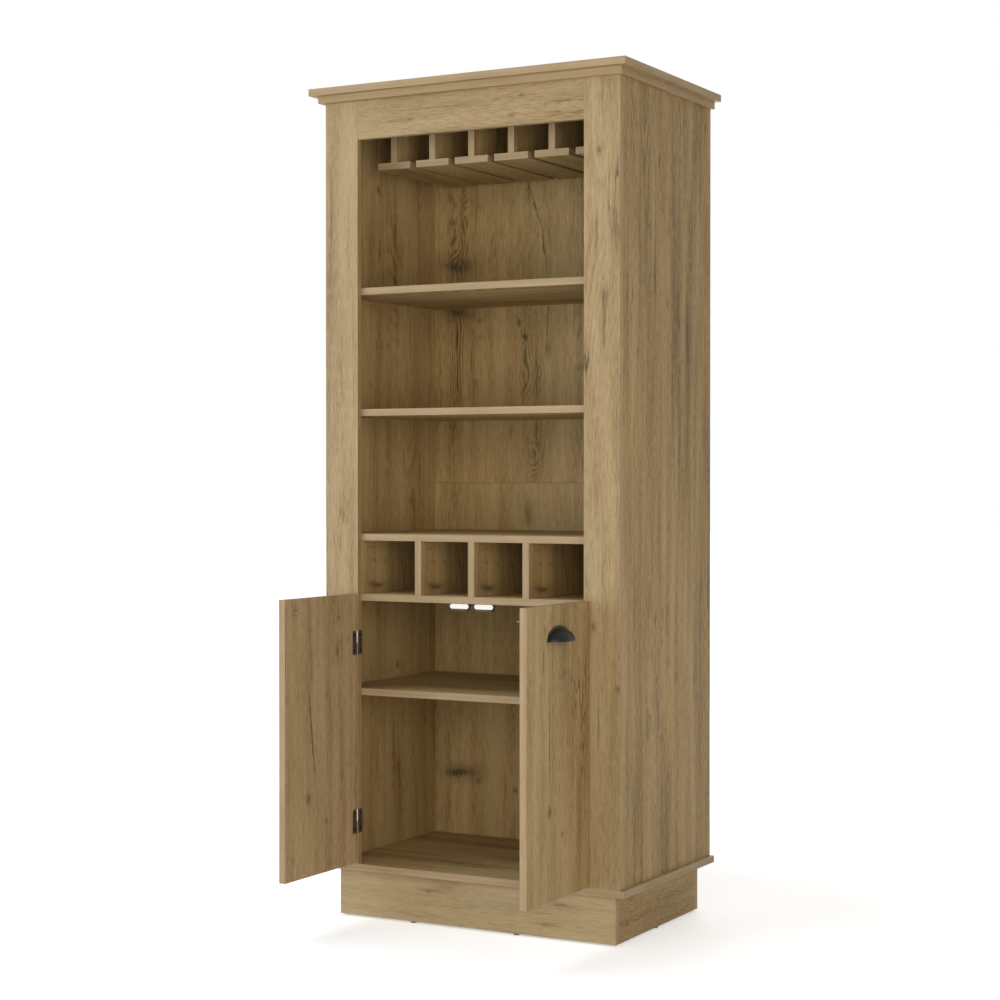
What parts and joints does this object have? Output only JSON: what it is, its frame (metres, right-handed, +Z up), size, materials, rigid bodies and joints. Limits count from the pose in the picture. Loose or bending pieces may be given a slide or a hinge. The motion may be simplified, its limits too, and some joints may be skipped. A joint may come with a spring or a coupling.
{
  "type": "bar armoire",
  "caption": "Tall open bar cabinet in oak-faced board: stemware rack, display shelves, bottle cubbies and a two-door cupboard on a recessed plinth.",
  "frame": {"origin": "on the floor, at the middle of the width, in the front plane of the face frame", "axes": "+Z up, +X to the right as seen from the front, +Y from the front to the back; rest pose has both doors open at a right angle"},
  "size_m": [0.759, 0.74, 1.8],
  "materials": {
    "oak_board": "oak-faced board with a weathered grey-brown open-grain finish, low sheen, lighter edge bands",
    "oak_back_board": "thin oak-faced board, same weathered finish, low sheen",
    "beech_dowel": "plain unfinished beech",
    "zinc_steel": "zinc-plated steel",
    "strike_bronze": "oak-brown bronzed steel strip",
    "glide_steel": "dark plated steel",
    "black_pull_metal": "satin black paint on cast metal",
    "dark_hinge_steel": "dark bronze plating, with brighter rubbed knuckles",
    "bright_pin_steel": "plain bright steel",
    "white_plastic": "white moulded plastic, slight sheen",
    "brown_plastic": "brown moulded plastic",
    "catch_magnet": "grey magnet between two steel pole plates"
  },
  "bodies": {
    "cabinet": {"left_side_panel": "oak_board", "right_side_panel": "oak_board", "top_panel": "oak_board", "crown_board": "oak_board", "base_board": "oak_board", "left_stile": "oak_board", "right_stile": "oak_board", "top_rail": "oak_board", "plinth_front": "oak_board", "plinth_back": "oak_board", "plinth_left": "oak_board", "plinth_right": "oak_board", "floor_glides": "glide_steel", "upper_back_panel": "oak_back_board", "lower_back_panel": "oak_back_board", "back_seam_strip": "oak_back_board", "upper_shelf": "oak_board", "middle_shelf": "oak_board", "bottle_rack_top": "oak_board", "bottle_rack_floor": "oak_board", "lower_shelf": "oak_board", "left_bottle_divider": "oak_board", "middle_bottle_divider": "oak_board", "right_bottle_divider": "oak_board", "left_rack_end": "oak_board", "right_rack_end": "oak_board", "glass_rail_stem_1": "oak_board", "glass_rail_stem_2": "oak_board", "glass_rail_stem_3": "oak_board", "glass_rail_stem_4": "oak_board", "glass_rail_stem_5": "oak_board", "glass_rail_stem_6": "oak_board", "glass_rail_flange_1": "oak_board", "glass_rail_flange_2": "oak_board", "glass_rail_flange_3": "oak_board", "glass_rail_flange_4": "oak_board", "glass_rail_flange_5": "oak_board", "glass_rail_flange_6": "oak_board", "shelf_dowels": "beech_dowel", "frame_dowels": "beech_dowel", "top_screws": "zinc_steel", "frame_leaves": "dark_hinge_steel", "hinge_pins": "bright_pin_steel", "frame_leaf_screws": "zinc_steel", "catch_plates": "white_plastic", "catch_housings": "brown_plastic", "catch_magnets": "catch_magnet", "catch_screws": "zinc_steel"},
    "left_door_assembly": {"left_door": "oak_board", "left_cup_pull": "black_pull_metal", "left_pull_screws": "zinc_steel", "left_door_leaves": "dark_hinge_steel", "left_door_leaf_screws": "zinc_steel", "left_strike": "strike_bronze"},
    "right_door_assembly": {"right_door": "oak_board", "right_cup_pull": "black_pull_metal", "right_pull_screws": "zinc_steel", "right_door_leaves": "dark_hinge_steel", "right_door_leaf_screws": "zinc_steel", "right_strike": "strike_bronze"}
  },
  "joints": [
    {"name": "left_door_hinge", "type": "hinge", "parent": "cabinet", "child": "left_door_assembly", "pos_m": [-0.27425, -0.00295, 0.4], "axis": [0, 0, 1], "range_deg": [-24, 90]},
    {"name": "right_door_hinge", "type": "hinge", "parent": "cabinet", "child": "right_door_assembly", "pos_m": [0.27425, -0.00295, 0.4], "axis": [0, 0, -1], "range_deg": [-24, 90]}
  ]
}
